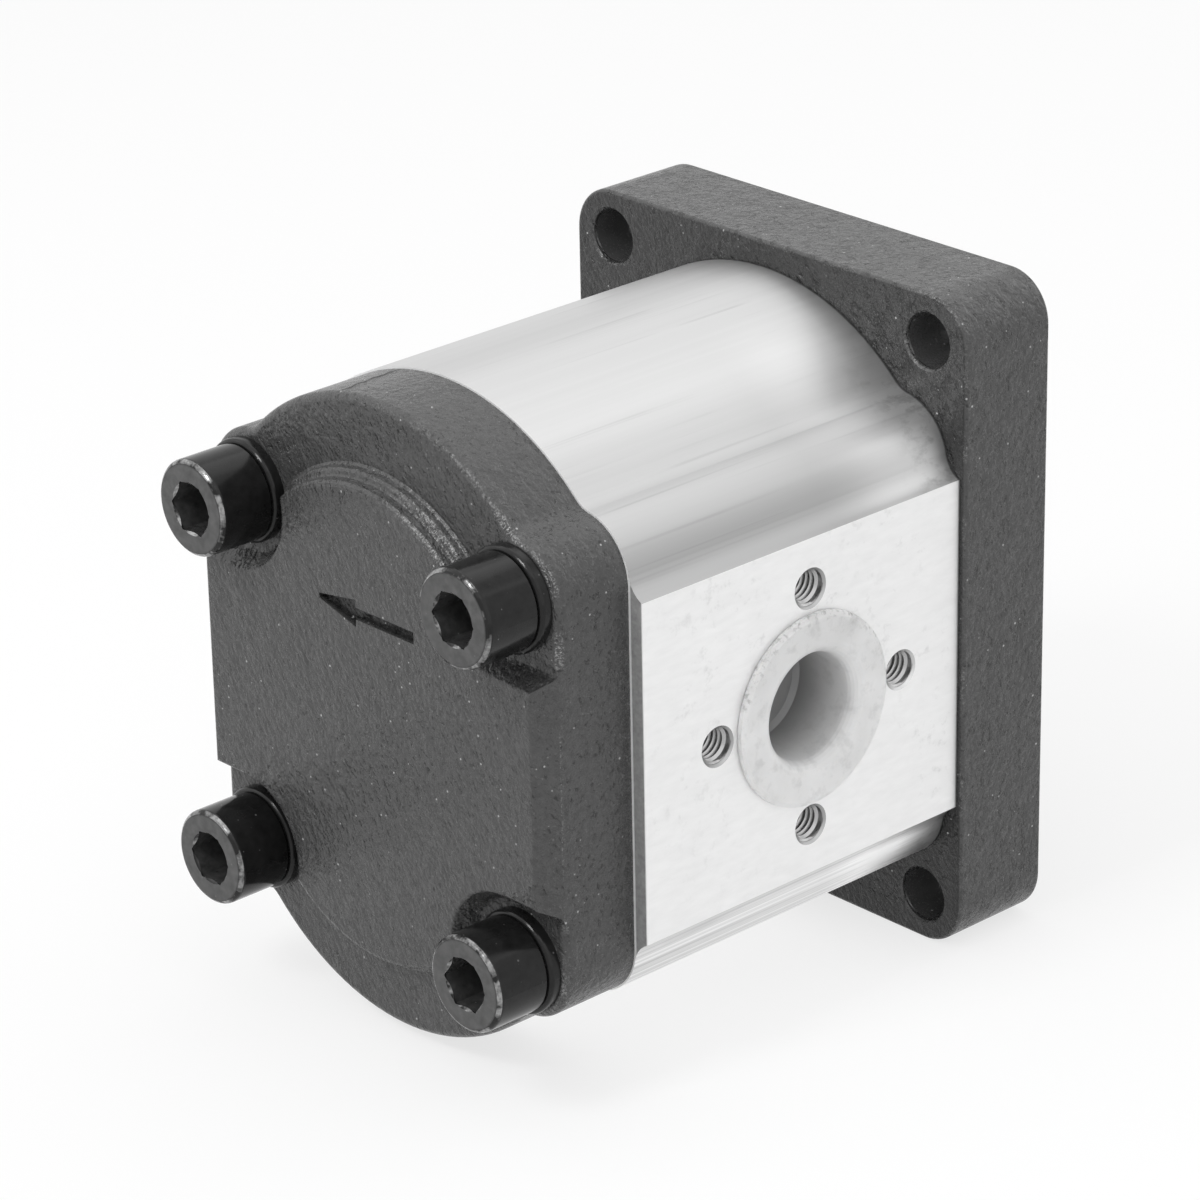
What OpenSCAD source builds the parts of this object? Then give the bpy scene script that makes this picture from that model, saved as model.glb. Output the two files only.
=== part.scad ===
/* [Mounting flange] */
// Width of the mounting flange, across the shaft
flange_w = 88.4; // [86:0.2:100]
// Height of the mounting flange
flange_h = 111.8; // [108:0.2:126]
// Thickness of the mounting flange
flange_t = 19.2; // [18:0.2:26]
// Radius of the flange's corners
flange_corner_r = 8; // [4:0.5:11]
// Rounding of the flange's edges
flange_edge_r = 0.7; // [0.3:0.1:2]
// Distance of the mounting holes from the flange's side edges
mount_edge_x = 8.45; // [7:0.05:10]
// Distance of the mounting holes from the flange's top and bottom edges
mount_edge_z = 7.8; // [7:0.05:10]
// Height of the upper mounting holes above the drive shaft
mount_above_shaft = 32.5; // [31:0.1:34]
// Diameter of the mounting holes
mount_hole_d = 9; // [8:0.1:10]
// Diameter of the centring pilot
pilot_d = 36.47; // [36.2:0.01:38]
// Height of the centring pilot
pilot_h = 6; // [5.8:0.1:8]

/* [Body] */
// Length of the extruded body
body_len = 68.5; // [62:0.5:90]
// Distance between the two gear shafts
centre_distance = 34; // [33.6:0.1:34.4]
// Radius of the body's round top and bottom
crown_r = 42.3; // [41:0.1:46]
// Distance of each crown's centre from the middle of the body
crown_offset = 10.7; // [8:0.1:11.5]
// Radius of the ear around each body screw
ear_r = 10; // [9.5:0.05:11]
// Radius of the hollow between an ear and the crown
ear_fillet_r = 5; // [3:0.5:7]
// Radius of the hollow between an ear and the port face
port_fillet_r = 5; // [4:0.5:8]
// Distance of each port face from the shaft's plane
port_face_x = 43.1; // [42.4:0.1:48]
// Height of the flat port face
port_face_h = 56.7; // [52:0.1:57.5]
// Radial clearance of the gears and bearing blocks in the body
bore_clearance = 0.05; // [0.03:0.01:0.08]

/* [Body screws] */
// Screw spacing across the shaft
screw_dx = 61; // [60:0.5:64]
// Screw spacing along the height
screw_dz = 60; // [58:0.5:63]
// Screw thread diameter
screw_d = 10; // [8:1:10]
// Screw head diameter
screw_head_d = 15.8; // [14:0.1:16.5]
// Screw head height
screw_head_h = 10; // [8:0.5:11]
// Socket size across its flats
socket_af = 8; // [6:1:9]
// Outer diameter of the washers
washer_d = 17; // [16.6:0.1:18]
// Thickness of the washers
washer_t = 2; // [1.5:0.1:3]
// Length of thread held by the flange
screw_grip = 15.4; // [10:0.2:16]

/* [Rear cover] */
// Thickness of the rear cover at its rim
cover_t = 14.1; // [12:0.1:22]
// Height of the raised pad on the rear cover
pad_h = 3.9; // [3:0.1:6]
// How far the cover's outline lies inside the body's
cover_inset = 0.3; // [0.1:0.1:0.8]
// Rounding of the rim's outer edge
cover_edge_r = 1.4; // [0.6:0.1:2]
// Radius of the raised pad's round ends at its top face
pad_r = 28.3; // [27:0.1:29]
// Half width of the raised pad at its top face
pad_half_w = 37.8; // [36:0.1:38.5]
// Radius of the pocket around each screw head, at the pad's top face
pocket_r = 12.1; // [11.5:0.1:13]
// Length of the turning arrow
arrow_len = 22; // [16:1:24]
// Depth of the turning arrow
arrow_depth = 1.3; // [0.5:0.1:2]

/* [Gears and shafts] */
// Number of teeth on each gear
teeth = 12; // [11:1:14]
// Width of the gears
gear_w = 26.4; // [20:0.2:32]
// Pressure angle of the teeth
pressure_angle = 25; // [24:0.5:27]
// Diameter of the shaft journals
journal_d = 18; // [16:0.5:18.4]
// Radial clearance of the journals in their bushes
journal_clearance = 0.03; // [0.02:0.01:0.06]
// Axial play of the gears between the bearing blocks
end_play = 0.06; // [0.04:0.01:0.1]
// Gap between the journal ends and the covers
journal_gap = 1; // [0.5:0.1:4]

/* [Shaft end] */
// Large diameter of the taper
taper_d = 16.65; // [15:0.05:17]
// Distance of the taper's large end from the mounting face
taper_start = 9.5; // [9:0.5:14]
// Length of the taper
taper_len = 17; // [17:0.5:22]
// The taper loses one unit of diameter in this length
taper_ratio = 8; // [7:1:10]
// Diameter of the shaft end's thread
nut_thread_d = 12; // [10:0.5:12.5]
// Length of the shaft end's thread
nut_thread_len = 12.5; // [11:0.5:18]
// Nut size across its flats
nut_af = 19; // [18:1:22]
// Nut height
nut_h = 7; // [6:0.5:8]
// Thickness of the nut's lock washer
lock_washer_t = 2.5; // [2:0.1:3]
// Diameter of the disc that the key is cut from
key_disc_d = 16; // [13:0.5:16]
// Width of the key
key_w = 3.2; // [2.5:0.1:4]
// Height of the key
key_h = 6.5; // [5:0.1:6.5]
// How far the key stands out of the taper
key_proud = 1.5; // [1:0.1:2]

/* [Bearings and seals] */
// Outer diameter of the bushes
bush_d = 20; // [20:0.1:21.5]
// Width of the pressure seal
pressure_seal_w = 2; // [1.6:0.1:2.4]
// Depth of the pressure seal's groove
pressure_seal_h = 2.4; // [1.8:0.1:3]
// Width of the body seal
body_seal_w = 2.6; // [2:0.1:3]
// Depth of the body seal's groove
body_seal_h = 1.9; // [1.4:0.1:2.4]
// Outer diameter of the shaft seal
shaft_seal_d = 30; // [28:0.5:30.5]
// Width of the shaft seal
shaft_seal_w = 7; // [6:0.5:8]
// Thickness of the seal's retaining ring
retaining_ring_t = 1.2; // [1:0.1:1.3]
// Diameter of the dowel pins
dowel_d = 6; // [4:0.5:6]
// Length of the dowel pins
dowel_len = 12; // [8:1:14]

/* [Ports] */
// Distance of the ports from the mounting face
port_y = 52.4; // [50:0.1:60]
// Diameter of the ports
port_d = 20; // [16:0.5:20]
// Pitch circle of the four port screws
port_pcd = 40; // [39:0.5:41]
// Thread diameter of the port screws
port_thread_d = 6; // [5:0.5:6.5]
// Depth of the port's threaded holes
port_thread_len = 13; // [10:0.5:13]
// Outer diameter of the port plug's rim
plug_rim_d = 32; // [28:0.5:33]
// Thickness of the port plug's rim
plug_rim_t = 1.3; // [1:0.1:2.5]
// Wall of the port plug's cup
plug_wall = 1.1; // [0.8:0.1:1.6]
// Depth of the port plug's cup
plug_depth = 13; // [10:0.5:14]

/* [Hidden] */
$fn = 96;
touch = 0.01;

// The origin is on the shaft's axis in the mounting face, and Y points out of that face
body_y = -flange_t;
cover_y = body_y - body_len;
rim_y = cover_y - cover_t;
pad_y = rim_y - pad_h;
driven_z = -centre_distance;
middle_z = driven_z / 2;
mount_dx = flange_w - 2 * mount_edge_x;
mount_dz = flange_h - 2 * mount_edge_z;
flange_z = mount_above_shaft - mount_dz / 2;
port_middle_y = -port_y;

// Gears
gear_module = centre_distance / teeth;
pitch_r = centre_distance / 2;
base_r = pitch_r * cos(pressure_angle);
tip_r = pitch_r + gear_module;
root_r = pitch_r - 1.2 * gear_module;
chamber_r = tip_r + bore_clearance;
flank_backlash = 0.16;
flank_steps = 9;
gear_y = body_y - body_len / 2 + gear_w / 2;
gear_rear_y = gear_y - gear_w;
journal_r = journal_d / 2;
bush_r = bush_d / 2;
shaft_rear_y = cover_y + journal_gap;
shaft_chamfer = 1;

// Bearing blocks, which fill the bore between the gears and the covers
block_r = chamber_r - bore_clearance;
block_len = (body_len - gear_w) / 2 - end_play;
front_block_y = body_y - end_play / 2;
rear_block_y = cover_y + end_play / 2 + block_len;
relief_depth = 2;
relief_x = 6.5;
relief_w = 5;
relief_h = 7;
seal_gap = 0.1;
backup_r = 13.1;
backup_t = 1;
pressure_seal_r = backup_r + backup_t;
pressure_groove_w = pressure_seal_w + backup_t;

// Body screws
screw_x = screw_dx / 2;
screw_z = screw_dz / 2;
screw_seat_y = rim_y - washer_t;
screw_end_y = body_y + screw_grip;
screw_clear_d = screw_d + 0.8;
hole_bevel = 0.5;
head_edge_r = 0.9;
head_under_r = 0.4;
washer_edge_r = 0.7;
socket_depth = screw_head_h * 0.6;

// Shaft end
seal_bore_y = -3.5;
retaining_y = seal_bore_y + shaft_seal_w + 0.1;
retaining_groove_d = shaft_seal_d + 1.4;
pilot_chamfer = 1;
journal_end_y = taper_start - 1;
taper_end = taper_start + taper_len;
taper_end_d = taper_d - taper_len / taper_ratio;
shaft_tip = taper_end + nut_thread_len;
key_y = taper_start + taper_len / 2;
key_top_z = (taper_d - taper_len / 2 / taper_ratio) / 2 + key_proud;
key_disc_r = key_disc_d / 2;
key_disc_z = key_top_z + key_disc_r - key_h;
flange_bore_d = journal_d + 1;
drain_d = 3;

// Body seals and dowels
body_seal_r = chamber_r + 2.6;
dowel_x = (chamber_r + port_face_x) / 2;

// Port plug
plug_fit = 0.05;
plug_r = port_d / 2 - plug_fit;
plug_seat = 0.02;
lip_r = 2.6;

// Turning arrow
arrow_z = 1.8;
arrow_x = 1;
arrow_w = 2;
arrow_tip = [0.1, 0.9];
arrow_head_w = 4.6;
arrow_head_len = 8.6;

// Where a circle of radius ra about A crosses one of radius rb about B, left of the line from A to B
function crossing(a, ra, b, rb) =
    let (
        d = norm(b - a),
        u = (b - a) / d,
        along = (ra * ra - rb * rb + d * d) / (2 * d),
        off = sqrt(ra * ra - along * along)
    )
    a + along * u + off * [-u[1], u[0]];

// Centres of the hollows on both sides of the upper right ear, about the middle of the body
hollow = crossing([0, crown_offset], crown_r + ear_fillet_r, [screw_x, screw_z], ear_r + ear_fillet_r);
port_hollow = crossing(
    [screw_x, screw_z], ear_r + port_fillet_r, [port_face_x, port_face_h / 2], port_fillet_r
);

// Points along a rounding about c, from angle a to angle b
function arc(c, r, a, b, steps = 5) =
    [for (i = [0:steps]) let (t = a + (b - a) * i / steps) c + r * [cos(t), sin(t)]];

// Points that round the corner at b between a and c
function round_corner(a, b, c, r, steps = 4) =
    let (
        u = (a - b) / norm(a - b),
        v = (c - b) / norm(c - b),
        half = acos(u * v) / 2,
        centre = b + r / sin(half) * (u + v) / norm(u + v),
        start = b + r / tan(half) * u - centre,
        end = b + r / tan(half) * v - centre,
        turn = atan2(start[0] * end[1] - start[1] * end[0], start * end),
        from = atan2(start[1], start[0])
    )
    arc(centre, r, from, from + turn, steps);

// Flat outline drawn in X and Z, given a thickness along Y
module slab(y0, y1) {
    translate([0, y1, 0])
        rotate([90, 0, 0])
            linear_extrude(y1 - y0, convexity = 6)
                children();
}

module rod(d, y0, y1, x = 0, z = 0) {
    translate([x, y0, z])
        rotate([-90, 0, 0])
            cylinder(d = d, h = y1 - y0);
}

// Round plate along Y with its rear edge rounded, and its front edge too where both is set
module soft_rod(r, edge, y0, y1, both = false) {
    rotate([-90, 0, 0])
        rotate_extrude() {
            translate([0, y0])
                square([r - edge, y1 - y0]);
            translate([0, y0 + edge])
                square([r, y1 - y0 - (both ? 2 : 1) * edge]);
            translate([r - edge, y0 + edge])
                circle(edge);
            if (both)
                translate([r - edge, y1 - edge])
                    circle(edge);
        }
}

// Section of a plate with the same edges, drawn in its width and in Y
module soft_section(half, edge, y0, y1, both = false) {
    translate([-half, y0 + edge])
        square([2 * half, y1 - y0 - (both ? 2 : 1) * edge]);
    translate([edge - half, y0])
        square([2 * (half - edge), y1 - y0]);
    for (side = [-1, 1]) {
        translate([side * (half - edge), y0 + edge])
            circle(edge);
        if (both)
            translate([side * (half - edge), y1 - edge])
                circle(edge);
    }
}

// Cut that leaves a hollow of this radius with a rounded rear edge
module soft_hollow(r, edge, y0, y1) {
    rotate([-90, 0, 0])
        rotate_extrude() {
            translate([0, y0 - 1])
                square([r, y1 - y0 + 2]);
            difference() {
                translate([r, y0 - 1])
                    square([edge, edge + 1]);
                translate([r + edge, y0 + edge])
                    circle(edge);
            }
        }
}

module turned(profile) {
    rotate([-90, 0, 0])
        rotate_extrude()
            polygon(profile);
}

// Both gear axes
module at_both_shafts() {
    for (z = [0, driven_z])
        translate([0, 0, z])
            children();
}

// The four body screws
module at_body_screws() {
    for (x = [-screw_x, screw_x])
        for (z = [-screw_z, screw_z])
            translate([x, 0, middle_z + z])
                children();
}

// The four mounting holes
module at_mount_holes() {
    for (x = [-mount_dx / 2, mount_dx / 2])
        for (z = [-mount_dz / 2, mount_dz / 2])
            translate([x, 0, flange_z + z])
                children();
}

// Four mirrored copies about the middle
module in_corners() {
    for (x = [0, 1])
        for (z = [0, 1])
            mirror([x, 0, 0])
                mirror([0, 0, z])
                    children();
}

// A piece drawn with Z pointing out of a port, placed on the port's axis
module at_port(side) {
    translate([0, port_middle_y, middle_z])
        rotate([0, side * 90, 0])
            children();
}

module bearing_outline(r) {
    circle(r);
    translate([0, -centre_distance])
        circle(r);
}

// Closed band around both shafts
module racetrack(r, w) {
    difference() {
        racetrack_area(r + w);
        racetrack_area(r);
    }
}

module racetrack_area(r) {
    bearing_outline(r);
    translate([-r, -centre_distance])
        square([2 * r, centre_distance]);
}

// Band like a figure three: arcs around the pressure side of both shafts, joined by a bar.
// It is w wide, and its outer ends and the bar begin at x0.
module figure_three(r, w, x0, bar_w) {
    outer = r + w;
    for (z = [0, -centre_distance])
        intersection() {
            translate([0, z])
                difference() {
                    circle(outer);
                    circle(r);
                }
            translate([x0, z - outer - 1])
                square([outer + 1 - x0, 2 * (outer + 1)]);
        }
    translate([x0, r - centre_distance])
        square([bar_w, centre_distance - 2 * r]);
}

// Casings
module flange_plate() {
    corner_x = flange_w / 2 - flange_corner_r;
    corner_z = flange_h / 2 - flange_corner_r;
    for (x = [-corner_x, corner_x])
        for (z = [-corner_z, corner_z])
            translate([x, 0, z])
                soft_rod(flange_corner_r, flange_edge_r, body_y, 0, true);
    translate([0, 0, -corner_z])
        linear_extrude(2 * corner_z)
            soft_section(flange_w / 2, flange_edge_r, body_y, 0, true);
    translate([-corner_x, 0, 0])
        rotate([0, 90, 0])
            linear_extrude(2 * corner_x)
                soft_section(flange_h / 2, flange_edge_r, body_y, 0, true);
}

module front_flange() {
    color("dimgray")
        difference() {
            union() {
                translate([0, 0, flange_z])
                    flange_plate();
                turned([
                    [0, -1], [pilot_d / 2, -1], [pilot_d / 2, pilot_h - pilot_chamfer],
                    [pilot_d / 2 - pilot_chamfer, pilot_h], [0, pilot_h]
                ]);
            }
            rod(flange_bore_d, body_y - 1, 0);
            rod(shaft_seal_d, seal_bore_y, pilot_h + 1);
            rod(retaining_groove_d, retaining_y, retaining_y + retaining_ring_t + 0.1);
            at_mount_holes() {
                rod(mount_hole_d, body_y - 1, 1);
                turned([
                    [0, body_y - 1], [mount_hole_d / 2 + 1 + hole_bevel, body_y - 1],
                    [mount_hole_d / 2 + hole_bevel - 1, body_y + 1], [0, body_y + 1]
                ]);
            }
            at_body_screws()
                turned([
                    [0, body_y - 1], [screw_d / 2, body_y - 1],
                    [screw_d / 2, screw_end_y + 1], [0, screw_end_y + 3]
                ]);
            for (x = [-dowel_x, dowel_x])
                rod(dowel_d, body_y - 1, body_y + dowel_len / 2, x, middle_z);
            rod(drain_d, body_y - 1, seal_bore_y + touch, 0, -(shaft_seal_d / 2 - drain_d));
        }
}

module port_cuts() {
    thread_r = port_thread_d / 2;
    thread_bevel = 0.4;
    cylinder(d = port_d, h = port_face_x + 1);
    for (a = [0:90:270])
        rotate([0, 0, a])
            translate([port_pcd / 2, 0, port_face_x - port_thread_len])
                rotate_extrude()
                    polygon([
                        [0, -1.5], [thread_r, 0], [thread_r, port_thread_len - thread_bevel],
                        [thread_r + thread_bevel, port_thread_len],
                        [thread_r + thread_bevel, port_thread_len + 1], [0, port_thread_len + 1]
                    ]);
}

// The extruded body about its middle: crowns, ears with a hollow on both sides, and port pads.
// A hollow is cut a touch wider, so that its surface crosses the ones beside it.
module body_profile() {
    pad_z = port_face_h / 2;
    for (side = [-1, 1])
        rod(2 * crown_r, cover_y, body_y, 0, side * crown_offset);
    in_corners() {
        rod(2 * ear_r, cover_y, body_y, screw_x, screw_z);
        difference() {
            slab(cover_y, body_y)
                polygon([[0, crown_offset], hollow, [screw_x, screw_z]]);
            rod(2 * (ear_fillet_r + touch), cover_y - 1, body_y + 1, hollow[0], hollow[1]);
        }
        difference() {
            slab(cover_y, body_y)
                polygon([
                    [screw_x, 0], [screw_x, screw_z], port_hollow, [port_face_x, pad_z], [port_face_x, 0]
                ]);
            rod(2 * (port_fillet_r + touch), cover_y - 1, body_y + 1, port_hollow[0], port_hollow[1]);
        }
    }
}

module pump_body() {
    color("gainsboro")
        difference() {
            translate([0, 0, middle_z])
                body_profile();
            slab(cover_y - 1, body_y + 1)
                bearing_outline(chamber_r);
            at_body_screws()
                rod(screw_clear_d, cover_y - 1, body_y + 1);
            for (side = [-1, 1])
                at_port(side)
                    port_cuts();
            for (x = [-dowel_x, dowel_x]) {
                rod(dowel_d, cover_y - 1, cover_y + dowel_len / 2, x, middle_z);
                rod(dowel_d, body_y - dowel_len / 2, body_y + 1, x, middle_z);
            }
            slab(cover_y - 1, cover_y + body_seal_h)
                racetrack(body_seal_r, body_seal_w);
            slab(body_y - body_seal_h, body_y + 1)
                racetrack(body_seal_r, body_seal_w);
        }
}

module arrow() {
    tip_x = -arrow_len / 2;
    head_x = tip_x + arrow_head_len;
    polygon([
        [tip_x, arrow_tip[0]], [tip_x, arrow_tip[1]], [head_x, arrow_head_w / 2], [head_x, arrow_w / 2],
        [arrow_len / 2, arrow_w / 2], [arrow_len / 2, -arrow_w / 2], [head_x, -arrow_w / 2],
        [head_x, -arrow_head_w / 2]
    ]);
}

// Wall of a screw's pocket, drawn in the distance from the screw and in Y: a cut with rounded corners
module pocket_section() {
    draft = 2;
    lip = [pocket_r, pad_y];
    foot = [pocket_r - draft, rim_y];
    polygon(concat(
        [[0, pad_y - 1], [pocket_r + 1, pad_y - 1]],
        round_corner([pocket_r + 1, pad_y], lip, foot, 0.6),
        round_corner(lip, foot, [0, rim_y], 1.5),
        [[foot[0] - 1, rim_y + 2], [0, rim_y + 2]]
    ));
}

// Raised pad with stepped round ends, sloping sides and a pocket around each screw head
module cover_pad() {
    side_x = screw_x + ear_r - cover_inset;
    buried = cover_edge_r;
    half_h = screw_z - pocket_r / 2;
    // Growth of the round end and share of the pad's height, from the top face to the foot
    steps = [
        [0, 1], [0.5, 0.96], [0.9, 0.85], [1.1, 0.55], [1.4, 0.5],
        [1.9, 0.45], [2.3, 0.33], [2.5, 0.1], [2.9, 0]
    ];
    foot_r = pad_r + 2.9;
    difference() {
        union() {
            for (side = [-1, 1])
                translate([0, 0, middle_z + side * crown_offset])
                    turned(concat(
                        [[0, pad_y]],
                        [for (s = steps) [pad_r + s[0], rim_y - pad_h * s[1]]],
                        [[foot_r, rim_y + buried], [0, rim_y + buried]]
                    ));
            for (side = [0, 1])
                mirror([side, 0, 0])
                    translate([0, 0, middle_z - half_h])
                        linear_extrude(2 * half_h)
                            polygon(concat(
                                [[0, pad_y]],
                                round_corner([0, pad_y], [pad_half_w, pad_y], [side_x, rim_y], 0.8),
                                round_corner([pad_half_w, pad_y], [side_x, rim_y], [side_x, rim_y + 4], 3),
                                [[side_x, rim_y + buried], [0, rim_y + buried]]
                            ));
        }
        at_body_screws()
            rotate([-90, 0, 0])
                rotate_extrude()
                    pocket_section();
        translate([0, 0, middle_z])
            in_corners()
                translate([screw_x, 0, screw_z])
                    rotate([90, 0, 90])
                        linear_extrude(screw_x)
                            rotate(-90) {
                                pocket_section();
                                translate([-screw_z, pad_y - 1])
                                    square([screw_z, pad_h + 3]);
                            }
    }
}

// Rim of the rear cover about the middle: the body's outline a little smaller, with straight sides
module cover_rim() {
    side_x = screw_x + ear_r - cover_inset;
    top_z = crown_offset + crown_r;
    intersection() {
        for (side = [-1, 1])
            translate([0, 0, side * crown_offset])
                soft_rod(crown_r - cover_inset, cover_edge_r, rim_y, cover_y);
        translate([cover_edge_r - side_x, rim_y - 1, -top_z])
            cube([2 * (side_x - cover_edge_r), cover_t + 2, 2 * top_z]);
    }
    translate([0, 0, -screw_z])
        linear_extrude(2 * screw_z)
            soft_section(side_x, cover_edge_r, rim_y, cover_y);
    in_corners() {
        translate([screw_x, 0, screw_z])
            soft_rod(ear_r - cover_inset, cover_edge_r, rim_y, cover_y);
        difference() {
            slab(rim_y, cover_y)
                polygon([[0, crown_offset], hollow, [screw_x, screw_z]]);
            translate([hollow[0], 0, hollow[1]])
                soft_hollow(ear_fillet_r + cover_inset + touch, cover_edge_r, rim_y, cover_y);
        }
    }
}

module rear_cover() {
    color("dimgray")
        difference() {
            union() {
                translate([0, 0, middle_z])
                    cover_rim();
                cover_pad();
            }
            at_body_screws()
                rod(screw_clear_d, pad_y - 1, cover_y + 1);
            for (x = [-dowel_x, dowel_x])
                rod(dowel_d, cover_y - dowel_len / 2, cover_y + 1, x, middle_z);
            slab(pad_y - 1, pad_y + arrow_depth)
                translate([arrow_x, arrow_z])
                    arrow();
        }
}

// Fasteners
module body_screws() {
    head_r = screw_head_d / 2;
    seat = screw_seat_y;
    top = seat - screw_head_h;
    color("black")
        at_body_screws()
            difference() {
                turned(concat(
                    [[0, top]],
                    arc([head_r - head_edge_r, top + head_edge_r], head_edge_r, -90, 0),
                    [
                        [head_r, seat - head_under_r], [head_r - head_under_r, seat], [screw_d / 2, seat],
                        [screw_d / 2, screw_end_y - 1], [screw_d / 2 - 1, screw_end_y], [0, screw_end_y]
                    ]
                ));
                translate([0, top - 1, 0])
                    rotate([-90, 0, 0])
                        cylinder(d = socket_af / cos(30), h = socket_depth + 1, $fn = 6);
                turned([
                    [0, top - 1], [socket_af / 2 + 1.4, top - 1],
                    [socket_af / 2 - 0.1, top + 0.5], [0, top + 0.5]
                ]);
            }
}

module screw_washers() {
    outer = washer_d / 2;
    inner = screw_clear_d / 2;
    color("black")
        at_body_screws()
            turned(concat(
                [[inner, screw_seat_y]],
                arc([outer - washer_edge_r, screw_seat_y + washer_edge_r], washer_edge_r, -90, 0),
                [[outer, rim_y], [inner, rim_y]]
            ));
}

module dowels(face_y) {
    color("silver")
        for (x = [-dowel_x, dowel_x])
            translate([x, face_y, middle_z])
                turned([
                    [0, -dowel_len / 2], [dowel_d / 2 - 0.5, -dowel_len / 2],
                    [dowel_d / 2, 0.5 - dowel_len / 2], [dowel_d / 2, dowel_len / 2 - 0.5],
                    [dowel_d / 2 - 0.5, dowel_len / 2], [0, dowel_len / 2]
                ]);
}

module front_dowels() {
    dowels(body_y);
}

module rear_dowels() {
    dowels(cover_y);
}

// Gears
function involute(r) = let (c = sqrt(r * r / (base_r * base_r) - 1)) c * 180 / PI - atan(c);
function half_tooth(r) =
    90 / teeth + involute(pitch_r) - (r > base_r ? involute(r) : 0) - flank_backlash / pitch_r * 90 / PI;
function polar(r, a) = [r * sin(a), r * cos(a)];

// One flank from the root to the tip, for the tooth that points up
function flank() =
    let (
        start_r = max(base_r, root_r + 0.6),
        radii = [for (i = [0:flank_steps]) start_r + (tip_r - start_r) * i / flank_steps],
        foot = half_tooth(start_r)
    )
    concat(
        [polar(root_r, foot + 3), polar(root_r + 0.1, foot + 1.4), polar(root_r + 0.5, foot + 0.3)],
        [for (r = radii) polar(r, half_tooth(r))]
    );

module gear_profile() {
    side = flank();
    n = len(side);
    tooth = concat(
        [for (i = [0:n - 1]) [-side[i][0], side[i][1]]],
        [polar(tip_r, 0)],
        [for (i = [n - 1:-1:0]) side[i]]
    );
    polygon([
        for (t = [0:teeth - 1])
            let (a = -360 / teeth * t)
            for (p = tooth)
                [p[0] * cos(a) - p[1] * sin(a), p[0] * sin(a) + p[1] * cos(a)]
    ]);
}

module gear(turn) {
    slab(gear_rear_y, gear_y)
        rotate([0, 0, turn])
            gear_profile();
}

module drive_gear_shaft() {
    color("lightsteelblue")
        difference() {
            union() {
                gear(0);
                turned([
                    [0, shaft_rear_y], [journal_r - shaft_chamfer, shaft_rear_y],
                    [journal_r, shaft_rear_y + shaft_chamfer], [journal_r, journal_end_y],
                    [taper_d / 2, taper_start], [taper_end_d / 2, taper_end],
                    [nut_thread_d / 2, taper_end], [nut_thread_d / 2, shaft_tip - shaft_chamfer],
                    [nut_thread_d / 2 - shaft_chamfer, shaft_tip], [0, shaft_tip]
                ]);
            }
            translate([-key_w / 2, key_y, key_disc_z])
                rotate([0, 90, 0])
                    cylinder(r = key_disc_r, h = key_w);
        }
}

module driven_gear_shaft() {
    front = body_y - journal_gap;
    color("lightsteelblue")
        translate([0, 0, driven_z]) {
            gear(180 / teeth);
            turned([
                [0, shaft_rear_y], [journal_r - shaft_chamfer, shaft_rear_y],
                [journal_r, shaft_rear_y + shaft_chamfer], [journal_r, front - shaft_chamfer],
                [journal_r - shaft_chamfer, front], [0, front]
            ]);
        }
}

module shaft_key() {
    color("silver")
        intersection() {
            translate([-key_w / 2, key_y, key_disc_z])
                rotate([0, 90, 0])
                    cylinder(r = key_disc_r, h = key_w);
            translate([-key_w, key_y - key_disc_r - 1, key_top_z - key_disc_d])
                cube([2 * key_w, key_disc_d + 2, key_disc_d]);
        }
}

module lock_washer() {
    inner = nut_thread_d / 2 + 0.1;
    outer = inner + 4.4;
    color("silver")
        slab(taper_end, taper_end + lock_washer_t)
            difference() {
                circle(outer);
                circle(inner);
                rotate(35)
                    translate([0, -0.5])
                        square([outer + 1, 1]);
            }
}

module shaft_nut() {
    seat = taper_end + lock_washer_t;
    corner_r = nut_af / 2 / cos(30);
    bevel = corner_r - nut_af / 2;
    color("silver")
        difference() {
            intersection() {
                translate([0, seat, 0])
                    rotate([-90, 0, 0])
                        cylinder(r = corner_r, h = nut_h, $fn = 6);
                turned([
                    [0, seat], [nut_af / 2, seat], [corner_r + 0.2, seat + bevel / 2],
                    [corner_r + 0.2, seat + nut_h - bevel / 2], [nut_af / 2, seat + nut_h], [0, seat + nut_h]
                ]);
            }
            rod(nut_thread_d, seat - 1, seat + nut_h + 1);
        }
}

// Bearings
module bearing_block(y0, gear_side, out_side) {
    color("darkgray")
        difference() {
            slab(y0, y0 + block_len)
                bearing_outline(block_r);
            at_both_shafts()
                rod(bush_d, y0 - 1, y0 + block_len + 1);
            for (side = [-1, 1])
                slab(gear_side - relief_depth, gear_side + relief_depth)
                    translate([side * relief_x - relief_w / 2, middle_z - relief_h / 2])
                        square([relief_w, relief_h]);
            slab(out_side - pressure_seal_h, out_side + pressure_seal_h)
                figure_three(backup_r, pressure_groove_w, -pressure_groove_w, pressure_groove_w);
        }
}

module front_bearing_block() {
    bearing_block(front_block_y - block_len, front_block_y - block_len, front_block_y);
}

module rear_bearing_block() {
    bearing_block(rear_block_y - block_len, rear_block_y, rear_block_y - block_len);
}

module bushes(y0) {
    color("peru")
        at_both_shafts()
            turned([
                [journal_r + journal_clearance, y0 + 0.5], [bush_r - 0.4, y0 + 0.5], [bush_r, y0 + 0.9],
                [bush_r, y0 + block_len - 0.9], [bush_r - 0.4, y0 + block_len - 0.5],
                [journal_r + journal_clearance, y0 + block_len - 0.5]
            ]);
}

module front_bushes() {
    bushes(front_block_y - block_len);
}

module rear_bushes() {
    bushes(rear_block_y - block_len);
}

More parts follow.
